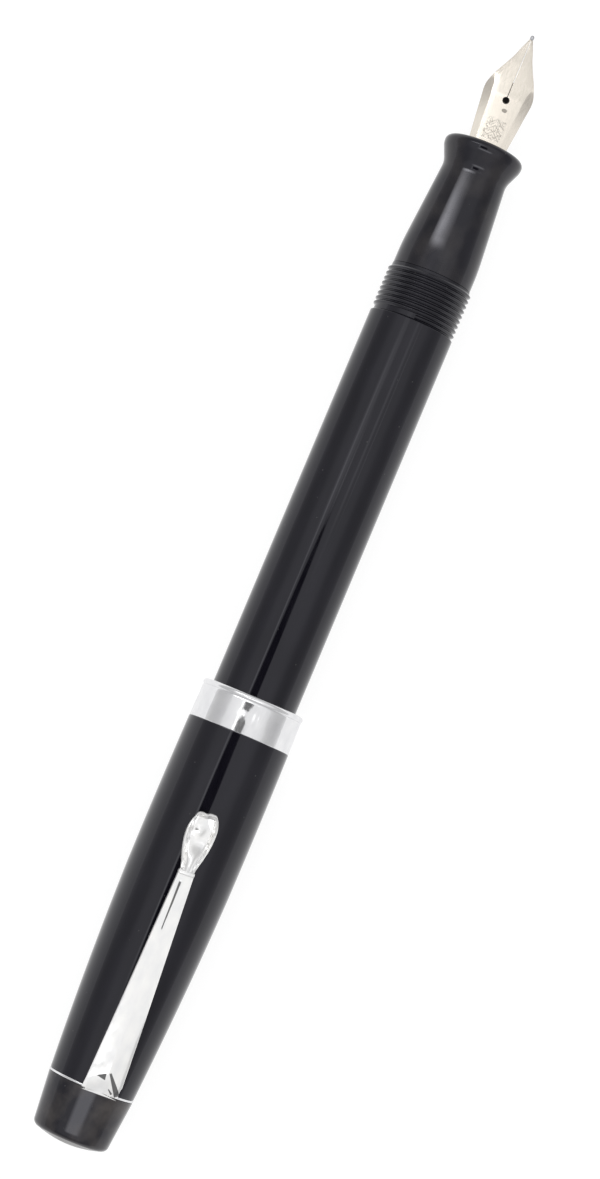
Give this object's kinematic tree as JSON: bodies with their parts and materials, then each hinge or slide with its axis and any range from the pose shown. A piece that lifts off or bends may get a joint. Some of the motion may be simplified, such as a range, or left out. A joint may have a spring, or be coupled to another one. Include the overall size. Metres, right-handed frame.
{
  "type": "fountain pen",
  "caption": "Black piston-filling fountain pen with a chrome clip and cap band, its cap posted on the barrel's tail.",
  "frame": {"origin": "on the pen's axis, in the middle of the bare barrel between the cap's lip and the cap thread", "axes": "+X along the axis towards the nib's tip; +Z out of the nib's upper face, which is also the clip's side"},
  "size_m": [0.1594, 0.0144, 0.0163],
  "materials": {
    "black_hard_rubber": "polished hard rubber",
    "ebonite": "turned, unpolished",
    "chrome_plate": "bright plate",
    "nib_steel": "polished, engraved",
    "tipping_alloy": "ground smooth",
    "turned_brass": "turned",
    "pin_steel": "drawn",
    "cork": "waxed cork"
  },
  "bodies": {
    "barrel": {"barrel": "black_hard_rubber", "section": "black_hard_rubber", "nib": "nib_steel", "nib_tipping": "tipping_alloy", "feed": "ebonite", "guide_bush": "ebonite", "retaining_nut": "turned_brass"},
    "knob": {"knob": "black_hard_rubber", "spindle": "turned_brass", "knob_pin": "pin_steel", "drive_peg": "pin_steel"},
    "piston": {"piston_rod": "ebonite", "piston_core": "ebonite", "piston_seal": "cork", "piston_nut": "ebonite"},
    "cap": {"cap_tube": "black_hard_rubber", "cap_band": "chrome_plate", "crown": "black_hard_rubber", "clip_ring": "chrome_plate", "inner_cap": "ebonite"},
    "clip": {"clip_arm": "chrome_plate"}
  },
  "joints": [
    {"name": "knob_turn", "type": "hinge", "parent": "barrel", "child": "knob", "pos_m": [-0.0407, 0, 0], "axis": [-1, 0, 0], "range_deg": [0, 1440]},
    {"name": "piston_slide", "type": "slide", "parent": "barrel", "child": "piston", "axis": [1, 0, 0], "range_m": [0, 0.024]},
    {"name": "cap_post_slide", "type": "slide", "parent": "barrel", "child": "cap", "axis": [-1, 0, 0], "range_m": [0, 0.035]},
    {"name": "clip_flex", "type": "hinge", "parent": "cap", "child": "clip", "pos_m": [-0.0822, -0.00126, 0.00617], "axis": [0, -0.9799, -0.1994], "range_deg": [0, 4], "stiffness_Nm_per_rad": 0.8}
  ],
  "couplings": [
    {"joint": "piston_slide", "follows": "knob_turn", "m_per_rad": 0.00095493}
  ]
}
